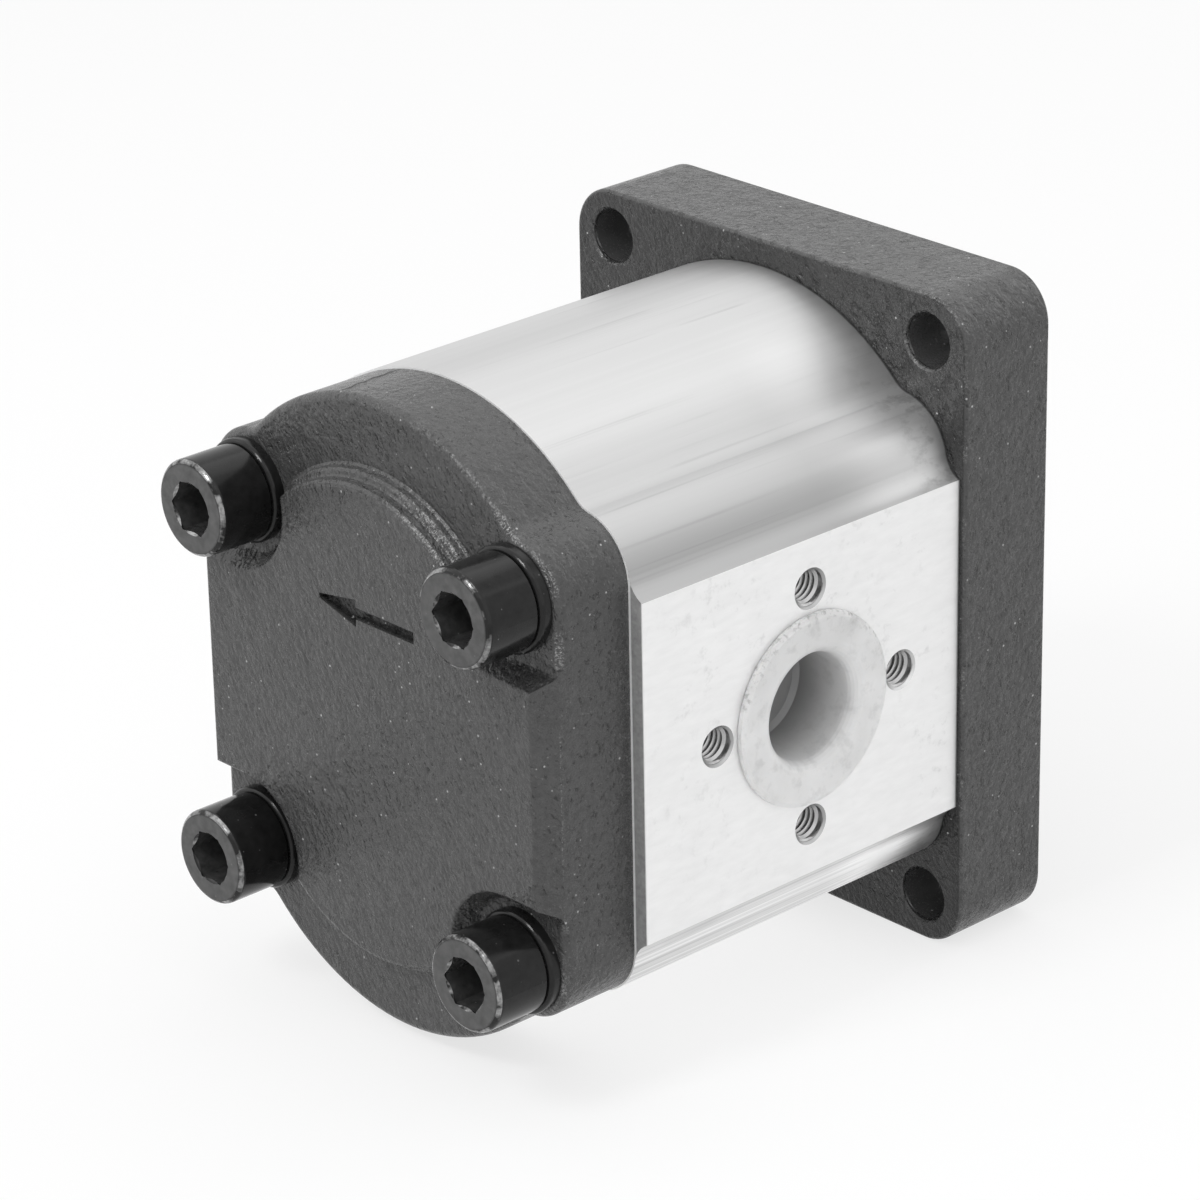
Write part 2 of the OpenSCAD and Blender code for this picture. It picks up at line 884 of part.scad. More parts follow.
// Seals
module pressure_seal(y0, y1) {
    color("dimgray")
        slab(y0, y1)
            figure_three(pressure_seal_r, pressure_seal_w, -pressure_seal_w, pressure_seal_w);
}

module backup_ring(y0, y1) {
    color("ivory")
        slab(y0, y1)
            figure_three(backup_r, backup_t, -pressure_groove_w, backup_t);
}

module front_pressure_seal() {
    pressure_seal(front_block_y - pressure_seal_h, body_y);
}

module rear_pressure_seal() {
    pressure_seal(cover_y, cover_y + end_play / 2 + pressure_seal_h);
}

module front_backup_ring() {
    backup_ring(front_block_y - pressure_seal_h, front_block_y - seal_gap);
}

module rear_backup_ring() {
    backup_ring(cover_y + seal_gap, cover_y + end_play / 2 + pressure_seal_h);
}

module body_seal(y0) {
    color("dimgray")
        slab(y0, y0 + body_seal_h)
            racetrack(body_seal_r, body_seal_w);
}

module front_body_seal() {
    body_seal(body_y - body_seal_h);
}

module rear_body_seal() {
    body_seal(cover_y);
}

module shaft_seal_case() {
    outer = shaft_seal_d / 2;
    color("slategray")
        turned([
            [outer, seal_bore_y], [outer, seal_bore_y + shaft_seal_w],
            [outer - 3.6, seal_bore_y + shaft_seal_w], [outer - 3.6, seal_bore_y + shaft_seal_w - 1],
            [outer - 1, seal_bore_y + shaft_seal_w - 1], [outer - 1, seal_bore_y]
        ]);
}

module shaft_seal_lip() {
    outer = shaft_seal_d / 2 - 1;
    front = seal_bore_y + shaft_seal_w - 1;
    bore = journal_r + journal_clearance;
    spring = spring_r();
    color("saddlebrown")
        difference() {
            turned([
                [outer, front], [outer, front - 1.6], [bore + 2.6, front - 1.8],
                [bore + 2.4, seal_bore_y + 0.6], [bore + 0.8, seal_bore_y + 0.6],
                [bore, seal_bore_y + 2], [bore + 0.8, front - 1.8], [bore + 0.8, front]
            ]);
            rotate([-90, 0, 0])
                rotate_extrude()
                    translate([spring[0], spring[1]])
                        circle(spring[2], $fn = 24);
        }
}

// Place and wire radius of the garter spring
function spring_r() = [journal_r + journal_clearance + 2.5, seal_bore_y + 1.9, 0.7];

module seal_garter_spring() {
    spring = spring_r();
    color("silver")
        rotate([-90, 0, 0])
            rotate_extrude()
                translate([spring[0], spring[1]])
                    circle(spring[2], $fn = 24);
}

module seal_retaining_ring() {
    outer = shaft_seal_d / 2 + 0.6;
    lug = 2;
    lug_r = shaft_seal_d / 2 - 2.3;
    color("silver")
        slab(retaining_y + 0.05, retaining_y + 0.05 + retaining_ring_t)
            difference() {
                union() {
                    difference() {
                        circle(outer);
                        circle(shaft_seal_d / 2 - 1.8);
                    }
                    for (side = [-1, 1])
                        rotate(side * 14)
                            translate([0, -lug_r])
                                circle(lug);
                }
                translate([-1, -outer - 1])
                    square([2, outer]);
                for (side = [-1, 1])
                    rotate(side * 14)
                        translate([0, -lug_r])
                            circle(0.8);
            }
}

// Port plugs, drawn with Z pointing out of the port
module port_plug(side) {
    outer = plug_r;
    inner = plug_r - plug_wall;
    rim = plug_rim_d / 2;
    face = port_face_x + plug_seat;
    bottom = face - plug_depth;
    color("whitesmoke")
        at_port(side)
            rotate_extrude()
                polygon(concat(
                    [
                        [0, bottom], [outer - 0.8, bottom], [outer, bottom + 0.8], [outer, face],
                        [rim - 0.2, face], [rim, face + 0.3], [rim - 0.1, face + plug_rim_t * 0.7],
                        [rim - 0.8, face + plug_rim_t]
                    ],
                    arc([inner + lip_r, face + plug_rim_t - lip_r], lip_r, 90, 180, 7),
                    [
                        [inner - 0.1, bottom + plug_wall + 0.8], [inner - 0.9, bottom + plug_wall],
                        [0, bottom + plug_wall]
                    ]
                ));
}

module right_port_plug() {
    port_plug(1);
}

module left_port_plug() {
    port_plug(-1);
}

front_flange();
pump_body();
rear_cover();
body_screws();
screw_washers();
drive_gear_shaft();
driven_gear_shaft();
front_bearing_block();
rear_bearing_block();
front_bushes();
rear_bushes();
front_pressure_seal();
rear_pressure_seal();
front_backup_ring();
rear_backup_ring();
front_body_seal();
rear_body_seal();
shaft_seal_case();
shaft_seal_lip();
seal_garter_spring();
seal_retaining_ring();
shaft_key();
lock_washer();
shaft_nut();
front_dowels();
rear_dowels();
right_port_plug();
left_port_plug();
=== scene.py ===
import math

import bmesh
import bpy
from mathutils import Matrix, Vector


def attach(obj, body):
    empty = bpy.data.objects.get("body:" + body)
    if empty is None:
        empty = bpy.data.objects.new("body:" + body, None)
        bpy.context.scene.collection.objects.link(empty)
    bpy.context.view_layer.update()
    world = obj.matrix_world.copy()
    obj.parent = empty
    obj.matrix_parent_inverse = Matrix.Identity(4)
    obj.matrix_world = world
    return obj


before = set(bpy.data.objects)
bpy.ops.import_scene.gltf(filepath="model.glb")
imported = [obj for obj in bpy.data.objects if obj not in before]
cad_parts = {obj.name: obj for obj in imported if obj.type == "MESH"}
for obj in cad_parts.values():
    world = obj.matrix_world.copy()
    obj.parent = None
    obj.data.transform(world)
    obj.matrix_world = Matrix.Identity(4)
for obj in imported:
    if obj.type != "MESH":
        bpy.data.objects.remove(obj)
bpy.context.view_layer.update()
scene = bpy.context.scene
MM = 0.001

# Places from the CAD, in millimetres in its frame
MIDDLE_Z = -17.0
CROWN_OFFSET = 10.7
COVER_CROWN_R = 42.0
COVER_Y = -87.7
RIM_Y = -101.8
PAD_Y = -105.7
HEAD_Y = -113.8
FLANGE_REAR_Y = -19.2
MOUNT_MIDDLE_Z = -15.6
MOUNT_AT = (35.75, 48.1)
MOUNT_HOLE_R = 4.5
PORT_Y = -52.4
PORT_FACE_X = 43.1
PORT_HOLE_R = 20.0
PLUG_DEPTH = 12.5
THREAD_R = 3.0
THREAD_CORE_R = 2.52
THREAD_START = 0.7
SHAFT_THREAD_R = 6.0
SHAFT_THREAD_Y = 36.3
SCREW_AT = (30.5, 30.0)
SOCKET_R = 5.0
FLOOR_Z = -71.5


# ---------------------------------------------------------------- camera
def aim_camera(azimuth, elevation, roll, distance, target, lens):
    """Camera on a sphere about the target, given in degrees and millimetres."""
    a, e, r = (math.radians(v) for v in (azimuth, elevation, roll))
    back = Vector((math.sin(a) * math.cos(e), -math.cos(a) * math.cos(e), math.sin(e)))
    right = Vector((math.cos(a), math.sin(a), 0))
    up = back.cross(right)
    across = math.cos(r) * right + math.sin(r) * up
    upward = -math.sin(r) * right + math.cos(r) * up
    camera = bpy.data.cameras.new("camera")
    camera.lens = lens
    camera.sensor_width = 36
    camera.clip_start = 0.05
    camera.clip_end = 20
    holder = bpy.data.objects.new("camera", camera)
    place = (Vector(target) + distance * back) * MM
    turn = Matrix((across, upward, back)).transposed().to_4x4()
    holder.matrix_world = Matrix.Translation(place) @ turn
    scene.collection.objects.link(holder)
    scene.camera = holder


aim_camera(azimuth=47.39984, elevation=23.36117, roll=-1.15039, distance=781.819,
           target=(1.374, -57.7, -9.908), lens=147.693)


# ---------------------------------------------------------------- node helpers
def grey(value):
    return (value, value, value, 1.0)


WHITE = grey(1.0)


class Nodes:
    """Short names for building a material's node tree. Sizes and places are in millimetres."""

    SOCKETS = {"color": "Base Color", "specular": "Specular IOR Level",
               "subsurface": "Subsurface Weight", "radius": "Subsurface Radius",
               "scale": "Subsurface Scale"}
    EDGE_SOFT = 0.05

    def __init__(self, name):
        self.material = bpy.data.materials.new(name)
        self.material.use_nodes = True
        self.tree = self.material.node_tree
        self.tree.nodes.clear()
        self.output = self.tree.nodes.new("ShaderNodeOutputMaterial")
        self.shader = self.tree.nodes.new("ShaderNodeBsdfPrincipled")
        self.tree.links.new(self.shader.outputs[0], self.output.inputs[0])
        self.place = self.tree.nodes.new("ShaderNodeTexCoord").outputs["Object"]
        self.geometry = self.tree.nodes.new("ShaderNodeNewGeometry")

    def put(self, socket, value):
        """Fixed value, or link from another node."""
        if isinstance(value, (int, float, tuple)):
            socket.default_value = value
        else:
            self.tree.links.new(value, socket)

    def set(self, **values):
        """The shader's own sockets."""
        for key, value in values.items():
            self.put(self.shader.inputs[self.SOCKETS.get(key, key.capitalize())], value)

    # Arithmetic
    def math(self, kind, a, b=0.0):
        node = self.tree.nodes.new("ShaderNodeMath")
        node.operation = kind
        self.put(node.inputs[0], a)
        self.put(node.inputs[1], b)
        return node.outputs[0]

    def size(self, value):
        return self.math("ABSOLUTE", value)

    def times(self, first, *others):
        for other in others:
            first = self.math("MULTIPLY", first, other)
        return first

    def weighted(self, *parts):
        """Sum of values, each given with its weight."""
        total = None
        for value, weight in parts:
            term = self.math("MULTIPLY", value, weight)
            total = term if total is None else self.math("ADD", total, term)
        return total

    def radius(self, a, b):
        squares = [self.math("POWER", v, 2.0) for v in (a, b)]
        return self.math("SQRT", self.math("ADD", *squares))

    def span(self, value, low, high, to_low=0.0, to_high=1.0, smooth=False):
        """Maps low to high onto another range, and holds the ends."""
        node = self.tree.nodes.new("ShaderNodeMapRange")
        node.interpolation_type = "SMOOTHSTEP" if smooth else "LINEAR"
        for name, v in (("Value", value), ("From Min", low), ("From Max", high),
                        ("To Min", to_low), ("To Max", to_high)):
            self.put(node.inputs[name], v)
        return node.outputs[0]

    def ease(self, value, low, high):
        """0 at low and 1 at high, with soft ends."""
        return self.span(value, low, high, smooth=True)

    def vary(self, noise, low, high):
        """Maps the usual reach of a noise."""
        return self.span(noise, 0.3, 0.7, low, high)

    def scaled(self, value, mask, factor):
        """The value times the factor where the mask is 1, and unchanged where it is 0."""
        return self.times(value, self.span(mask, 0.0, 1.0, 1.0, factor))

    def between(self, value, low, high):
        """1 inside the span and 0 outside it."""
        return self.times(self.span(value, low - self.EDGE_SOFT, low),
                          self.span(value, high + self.EDGE_SOFT, high))

    def mix(self, factor, a, b):
        node = self.tree.nodes.new("ShaderNodeMix")
        node.data_type = "RGBA"
        self.put(node.inputs["Factor"], factor)
        for socket, value in ((node.inputs[6], a), (node.inputs[7], b)):
            self.put(socket, grey(value) if isinstance(value, float) else value)
        return node.outputs[2]

    def tinted(self, tone, color):
        """A plain color times a tone."""
        node = self.tree.nodes.new("ShaderNodeMix")
        node.data_type = "RGBA"
        node.blend_type = "MULTIPLY"
        node.inputs["Factor"].default_value = 1.0
        self.put(node.inputs[6], (*color, 1.0))
        self.put(node.inputs[7], tone)
        return node.outputs[2]

    # Places and normals
    def axis(self, output, name):
        node = self.tree.nodes.new("ShaderNodeSeparateXYZ")
        self.tree.links.new(output, node.inputs[0])
        return node.outputs[name]

    def at(self, name):
        """One object coordinate."""
        return self.math("MULTIPLY", self.axis(self.place, name), 1 / MM)

    def normal(self, name, kind="True Normal"):
        """One component of the surface normal, in the object's own frame."""
        node = self.tree.nodes.new("ShaderNodeVectorTransform")
        node.vector_type = "NORMAL"
        node.convert_from = "WORLD"
        node.convert_to = "OBJECT"
        self.tree.links.new(self.geometry.outputs[kind], node.inputs[0])
        return self.axis(node.outputs[0], name)

    def rounded_edge(self, y0, y1):
        """1 where the surface turns between a face square to Y and one along it, and Y fits."""
        tilt = self.size(self.normal("Y", "Normal"))
        turned = self.times(self.span(tilt, 0.15, 0.45), self.span(tilt, 0.99, 0.93))
        return self.times(turned, self.between(self.at("Y"), y0, y1))

    def from_corners(self, corner, middle_z):
        """Distance to the nearest of four axes along Y, mirrored about the middle."""
        across = self.math("SUBTRACT", self.size(self.at("X")), corner[0])
        height = self.size(self.math("SUBTRACT", self.at("Z"), middle_z))
        return self.radius(across, self.math("SUBTRACT", height, corner[1]))

    # Textures
    def stretched(self, factors, tilt=0.0):
        """Object coordinates in millimetres, turned about Y and times a factor on each axis."""
        node = self.tree.nodes.new("ShaderNodeMapping")
        node.vector_type = "TEXTURE"
        node.inputs["Rotation"].default_value = (0, math.radians(tilt), 0)
        node.inputs["Scale"].default_value = [MM / f for f in factors]
        self.tree.links.new(self.place, node.inputs["Vector"])
        return node.outputs[0]

    def noise(self, size, detail, roughness, stretch=(1, 1, 1), seed=0, distortion=0.0, tilt=0.0):
        node = self.tree.nodes.new("ShaderNodeTexNoise")
        node.noise_dimensions = "4D"
        node.inputs["W"].default_value = seed
        node.inputs["Scale"].default_value = 1 / size
        node.inputs["Detail"].default_value = detail
        node.inputs["Roughness"].default_value = roughness
        node.inputs["Distortion"].default_value = distortion
        self.tree.links.new(self.stretched(stretch, tilt), node.inputs["Vector"])
        return node.outputs["Fac"]

    def spots(self, size, seed):
        """Distance to the nearest of scattered points, 0 at a point."""
        node = self.tree.nodes.new("ShaderNodeTexVoronoi")
        node.voronoi_dimensions = "4D"
        node.inputs["W"].default_value = seed
        node.inputs["Scale"].default_value = 1 / size
        self.tree.links.new(self.stretched((1, 1, 1)), node.inputs["Vector"])
        return node.outputs["Distance"]

    def bump(self, height, depth):
        node = self.tree.nodes.new("ShaderNodeBump")
        node.inputs["Strength"].default_value = 1.0
        node.inputs["Distance"].default_value = depth * MM
        self.tree.links.new(height, node.inputs["Height"])
        return node.outputs[0]


# ---------------------------------------------------------------- materials
def cast_iron(name, tone, edge_y, wear, hollow_depth):
    """Black-coated casting: orange-peel grain partly darkened as painted shade, dark dashes,
    painted glints in small specks, edges worn grey with painted glints, painted shade on the
    flange's rear face and in the turning mark, and painted light on upward faces.
    """
    n = Nodes(name)
    x, y, z = n.at("X"), n.at("Y"), n.at("Z")

    # Grain of the casting under its coat
    peel = n.noise(0.9, 2, 0.55, (1.0, 0.8, 0.65), seed=1, distortion=0.5, tilt=-35)
    fine = n.noise(0.30, 3, 0.6, seed=2)
    lumps = n.noise(4.0, 3, 0.5, seed=3)
    cloud = n.noise(24.0, 4, 0.55, seed=4)
    dashes = n.span(n.noise(0.55, 2, 0.5, (1.0, 0.75, 0.38), seed=5, tilt=-30), 0.40, 0.30)
    lights = n.span(n.noise(0.50, 2, 0.5, (1.0, 0.75, 0.45), seed=10, tilt=-30), 0.62, 0.72)
    hollows = n.noise(1.7, 3, 0.6, (1.0, 1.0, 0.6), seed=12, tilt=-35)
    hollows = n.times(n.span(hollows, 0.56, 0.64), hollow_depth)
    pits = n.span(n.spots(5.0, seed=6), 0.05, 0.11)
    height = n.weighted((peel, 0.85), (fine, 0.10), (dashes, -0.30), (lights, 0.25),
                        (hollows, -0.6), (pits, 0.25), (lumps, 1.3))
    shade = n.vary(cloud, tone * 0.92, tone * 1.08)
    # The grain's tone follows its height: raised peel and light streaks are painted lighter,
    # dashes and hollows darker, partly grain tone and partly painted shade
    shade = n.times(shade, n.vary(peel, 0.82, 1.18), n.vary(fine, 0.90, 1.10))
    shade = n.scaled(shade, dashes, 0.4)
    shade = n.scaled(shade, lights, 1.9)
    shade = n.scaled(shade, hollows, 0.5)

    # The mounting holes are drilled smooth, and their walls are painted a little lighter as
    # painted light
    drilled = n.times(n.span(n.from_corners(MOUNT_AT, MOUNT_MIDDLE_Z),
                             MOUNT_HOLE_R + 0.2, MOUNT_HOLE_R + 0.1),
                      n.span(y, FLANGE_REAR_Y + 0.3, FLANGE_REAR_Y + 0.8))
    height = n.scaled(height, drilled, 0.1)
    shade = n.mix(drilled, shade, tone * 1.2)

    # Painted shade: the flange's rear face is darker than its sides, most of all low down
    rear = n.times(n.span(n.normal("Y"), -0.8, -0.95), n.span(y, COVER_Y, FLANGE_REAR_Y - 1.0))
    shade = n.scaled(shade, rear, n.span(z, -50.0, -40.0, 0.15, 0.4))
    # Painted light: faces that look up are lighter
    shade = n.times(shade, n.span(n.normal("Z"), 0.8, 0.95, 1.0, 1.18))

    # Painted shade in the recessed turning arrow, darker than the coat around it
    arrow = n.times(n.between(x, -11.0, 13.0), n.between(z, -2.0, 6.0),
                    n.span(y, PAD_Y + 0.1, PAD_Y + 1.0), n.span(y, PAD_Y + 2.0, PAD_Y + 1.8))
    shade = n.scaled(shade, arrow, 0.25)

    # Edges worn through in patches, with painted highlights making them stronger on the right
    # side, and painted glints on the pad's upper right arc
    chips = n.span(n.noise(0.30, 4, 0.7, seed=7), 0.50, 0.62)
    patches = n.span(n.noise(9.0, 2, 0.5, seed=8), 0.46, 0.62)
    worn = n.times(n.rounded_edge(*edge_y), chips, patches,
                   n.span(x, 0.0, 18.0, 0.1, 1.0, smooth=True))
    pad_edge_glints = n.times(n.rounded_edge(PAD_Y - 0.1, RIM_Y - 0.3), n.span(x, 4.0, 16.0),
                       n.span(z, 13.0, 17.0), chips)
    worn = n.times(n.math("MAXIMUM", worn, pad_edge_glints), wear)
    # Painted glints: small pale specks scattered over the coat
    glint_flecks = n.span(n.spots(1.5, seed=9), 0.15, 0.09, 0.0, 0.9)
    color = n.mix(glint_flecks, n.mix(worn, shade, 0.42), 0.42)

    roughness = n.math("ADD", n.vary(cloud, 0.22, 0.30), n.vary(fine, -0.04, 0.05))
    n.set(color=color, roughness=roughness, specular=0.48, normal=n.bump(height, 0.42))
    return n.material


def extruded_alloy(name):
    """Extruded body: lines along the axis, machined port faces and ends, grey stains, painted
    shade on the ears, the crown's sides and the pad ends, and painted light on the ears near the
    flange and below the port faces.
    """
    n = Nodes(name)
    x, y, z = n.at("X"), n.at("Y"), n.at("Z")
    side = n.size(x)
    off_middle = n.size(n.math("SUBTRACT", z, MIDDLE_Z))
    lines = n.noise(0.55, 3, 0.6, (1, 0.004, 1), seed=11)
    hair = n.noise(0.16, 2, 0.5, (1, 0.012, 1), seed=12)
    bands = n.noise(5.5, 3, 0.6, (1, 0.006, 1), seed=13)
    cloud = n.noise(16.0, 4, 0.55, (1, 0.6, 1), seed=14)
    streak = n.times(n.span(n.noise(1.1, 2, 0.5, (1, 0.01, 1), seed=15), 0.60, 0.70),
                     n.span(n.noise(10, 2, 0.5, (1, 0.5, 1), seed=16), 0.45, 0.6))
    tone = n.times(n.span(bands, 0.35, 0.68, 0.515, 0.555), n.vary(lines, 0.975, 1.02))
    tone = n.scaled(tone, streak, 0.86)

    # Painted shade low on the ears and on the crown's sides toward the cover, and painted light
    # on the ears near the flange
    low_ear_shade = n.times(n.ease(side, 35.0, 40.2), n.ease(off_middle, 43.0, 34.0))
    dull = n.times(n.ease(side, 8.0, 34.0), n.ease(y, -34.0, -48.0))
    ear_painted_light = n.times(n.ease(side, 26.0, 33.0), n.ease(y, -42.0, -26.0))
    tone = n.scaled(tone, low_ear_shade, 0.82)
    tone = n.scaled(tone, dull, 0.80)
    tone = n.scaled(tone, ear_painted_light, 1.25)

    # Stains near the flange, painted light in lines below the port faces, a painted shadow of the
    # flange on the crown's sides, and a dark line in the joint, partly grime and partly painted
    # shade
    stain = n.times(n.ease(y, -34.0, -20.0), n.span(cloud, 0.42, 0.62))
    tone = n.times(tone, n.span(stain, 0.0, 1.0, 1.06, 0.96))
    # Painted light in lines below the port faces, faded out near the flange where its shadow
    # falls
    under_painted_light = n.times(n.span(z, MIDDLE_Z - 28.2, MIDDLE_Z - 29.2), n.ease(y, -22.0, -34.0))
    tone = n.scaled(tone, under_painted_light, n.span(lines, 0.35, 0.65, 1.5, 2.4))
    # Painted shadow of the flange on the crown's sides near it
    flange_shadow = n.times(n.ease(y, -31.0, -22.0), n.span(side, 22.0, 32.0),
                     n.span(n.noise(2.6, 4, 0.65, (1, 0.6, 1), seed=26), 0.50, 0.64))
    tone = n.scaled(tone, flange_shadow, 0.72)
    # A dark line at the joint with the flange, partly grime and partly painted shade
    tone = n.times(tone, n.span(y, FLANGE_REAR_Y - 0.45, FLANGE_REAR_Y - 0.15, 1.0, 0.25))

    # Machined port face with faint stains and scratches
    on_face = n.times(n.span(side, PORT_FACE_X - 0.06, PORT_FACE_X - 0.02),
                      n.span(n.size(n.normal("X")), 0.95, 0.99))
    rim_stain = n.times(n.span(n.noise(2.2, 4, 0.65, seed=18), 0.56, 0.70),
                        n.span(n.noise(12, 2, 0.5, seed=19), 0.48, 0.62))
    face_tone = n.vary(n.noise(1.2, 3, 0.6, (0.1, 0.3, 1), seed=17), 0.81, 0.86)
    face_tone = n.times(face_tone, n.vary(cloud, 0.97, 1.0))
    face_tone = n.scaled(face_tone, rim_stain, 0.84)
    # The same dark line where the port face meets the flange, partly grime and partly painted
    # shade
    face_tone = n.times(face_tone,
                        n.span(y, FLANGE_REAR_Y - 0.40, FLANGE_REAR_Y - 0.10, 1.0, 0.30))

    # Faced ends, with the ends of the port pads left as sawn and painted darker as painted shade
    end_face = n.span(n.size(n.normal("Y")), 0.9, 0.98)
    pad_end = n.times(n.span(side, 40.6, 40.7), n.span(side, 42.95, 42.85))
    sawn_and_shaded = n.vary(n.noise(0.8, 3, 0.6, seed=20), 0.28, 0.42)
    color = n.mix(on_face, tone, face_tone)
    color = n.mix(end_face, color, n.mix(pad_end, 0.92, sawn_and_shaded))

    milled = n.math("MAXIMUM", n.times(on_face, 0.35), n.times(end_face, 0.6))
    n.set(color=color, metallic=n.math("SUBTRACT", 1.0, milled),
          roughness=n.math("ADD", n.vary(lines, 0.42, 0.48), n.times(on_face, 0.02)),
          normal=n.bump(n.weighted((lines, 0.7), (hair, 0.3)), 0.006))
    return n.material


def black_oxide(name):
    """Screws and washers: oily black oxide, greyer on the end faces, worn on their edges, and
    painted light in the sockets.
    """
    n = Nodes(name)
    y = n.at("Y")
    mottle = n.noise(1.6, 4, 0.6, seed=21)
    fine = n.noise(0.3, 3, 0.6, seed=22)
    end = n.times(n.span(n.normal("Y"), -0.97, -0.995), n.span(y, HEAD_Y + 0.05, HEAD_Y + 0.02))
    # Painted light inside the hexagon sockets, lighter than the black heads around them
    socket = n.times(n.span(n.from_corners(SCREW_AT, MIDDLE_Z), SOCKET_R + 0.2, SOCKET_R),
                     n.span(y, HEAD_Y + 0.1, HEAD_Y + 0.4))
    shade = n.vary(mottle, 0.007, 0.013)
    shade = n.math("ADD", shade, n.times(end, n.vary(mottle, 0.045, 0.085)))
    shade = n.math("ADD", shade, n.times(socket, n.vary(mottle, 0.018, 0.045)))
    worn = n.times(n.rounded_edge(HEAD_Y - 0.1, HEAD_Y + 0.8),
                   n.span(n.noise(2.8, 3, 0.6, seed=23), 0.45, 0.58),
                   n.span(n.noise(0.5, 2, 0.5, seed=25), 0.35, 0.65, 0.45, 1.0))
    scuffs = n.span(n.spots(1.3, seed=24), 0.15, 0.09, 0.0, 0.6)
    color = n.mix(scuffs, n.mix(n.times(worn, 0.85), shade, 0.42), 0.16)
    n.set(color=color, metallic=n.times(worn, 0.4), specular=0.22,
          roughness=n.math("ADD", n.vary(mottle, 0.12, 0.20), n.times(end, 0.20)),
          normal=n.bump(fine, 0.006))
    return n.material


def steel(name, tone, roughness, stretch=(1, 1, 1), tint=(1.0, 1.0, 1.0)):
    """Machined or plated metal with fine turning marks."""
    n = Nodes(name)
    marks = n.noise(0.4, 3, 0.6, stretch, seed=31)
    cloud = n.noise(6.0, 3, 0.5, seed=32)
    shade = n.times(n.vary(cloud, tone * 0.93, tone * 1.04), n.vary(marks, 0.95, 1.05))
    n.set(color=n.tinted(shade, tint), metallic=1.0,
          roughness=n.vary(marks, roughness - 0.05, roughness + 0.07),
          normal=n.bump(marks, 0.008))
    return n.material


def rubber(name, color):
    """Moulded seals and rings with a fine dull grain."""
    n = Nodes(name)
    fine = n.noise(0.25, 3, 0.6, seed=41)
    n.set(color=n.tinted(n.vary(fine, 0.85, 1.15), color), roughness=n.vary(fine, 0.5, 0.65),
          normal=n.bump(fine, 0.01))
    return n.material


def milky_plastic(name):
    """Moulded plug of thin polyethylene: milky, waxy, a little see-through."""
    n = Nodes(name)
    x, y, z = n.at("X"), n.at("Y"), n.at("Z")
    up = n.math("SUBTRACT", z, MIDDLE_Z)
    cloud = n.noise(5.0, 3, 0.5, seed=51)
    smear = n.noise(2.4, 4, 0.6, seed=52)
    tone = n.times(n.vary(cloud, 0.67, 0.75), n.span(smear, 0.50, 0.66, 1.0, 0.86))
    # Grey rub marks on the upper edge of the rim
    rub = n.times(n.span(n.radius(up, n.math("SUBTRACT", y, PORT_Y)), 14.2, 15.8),
                  n.span(up, -2.0, 8.0),
                  n.span(n.noise(0.9, 4, 0.7, seed=53), 0.50, 0.64))
    tone = n.scaled(tone, rub, 0.55)
    tone = n.times(tone, n.span(up, 2.0, 12.0, 1.0, 0.92))
    # Painted shade, darker toward the bottom of the cup
    shallow = n.ease(n.size(x), PORT_FACE_X - PLUG_DEPTH, PORT_FACE_X + 0.2)
    n.set(color=n.mix(shallow, 0.28, tone), roughness=n.vary(smear, 0.28, 0.4),
          subsurface=0.25, radius=(1.0, 0.9, 0.8), scale=0.0015, specular=0.5,
          normal=n.bump(cloud, 0.03))
    return n.material


iron = cast_iron("cast_iron_cover", 0.045, (RIM_Y - 0.1, RIM_Y + 1.5),
                 wear=0.9, hollow_depth=0.25)
flange_iron = cast_iron("cast_iron_flange", 0.046, (FLANGE_REAR_Y - 0.1, FLANGE_REAR_Y + 0.8),
                        wear=0.4, hollow_depth=0.8)
alloy = extruded_alloy("extruded_alloy")
alloy_thread = steel("tapped_alloy", 0.42, 0.30)
oxide = black_oxide("black_oxide")
ground = steel("ground_steel", 0.62, 0.22, stretch=(1, 6, 1))
zinc = steel("zinc_steel", 0.58, 0.35)
block = steel("block_alloy", 0.66, 0.35)
bronze = steel("bush_bronze", 0.75, 0.3, tint=(0.85, 0.58, 0.30))
seal = rubber("seal_rubber", (0.03, 0.03, 0.03))
lip = rubber("lip_rubber", (0.16, 0.06, 0.03))
wax = rubber("backup_plastic", (0.82, 0.81, 0.77))
milk = milky_plastic("plug_plastic")

BY_NODE = {
    iron: ["rear_cover"],
    flange_iron: ["front_flange"],
    alloy: ["pump_body"],
    oxide: ["body_screws", "screw_washers"],
    ground: ["drive_gear_shaft", "driven_gear_shaft", "shaft_key", "front_dowels",
             "rear_dowels"],
    zinc: ["lock_washer", "shaft_nut", "shaft_seal_case", "seal_garter_spring",
           "seal_retaining_ring"],
    block: ["front_bearing_block", "rear_bearing_block"],
    bronze: ["front_bushes", "rear_bushes"],
    seal: ["front_pressure_seal", "rear_pressure_seal", "front_body_seal", "rear_body_seal"],
    lip: ["shaft_seal_lip"],
    wax: ["front_backup_ring", "rear_backup_ring"],
    milk: ["right_port_plug", "left_port_plug"],
}
for material, names in BY_NODE.items():
    for name in names:
        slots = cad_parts[name].data.materials
        slots.clear()
        slots.append(material)


# ---------------------------------------------------------------- swept pieces
def join_rings(bm, rings):
    """Walls between the rings, and a face over each end."""
    count = len(rings[0])
    for a, b in zip(rings, rings[1:]):
        for k in range(count):
            m = (k + 1) % count
            bm.faces.new((a[k], a[m], b[m], b[k]))
    bm.faces.new(rings[0])
    bm.faces.new(list(reversed(rings[-1])))


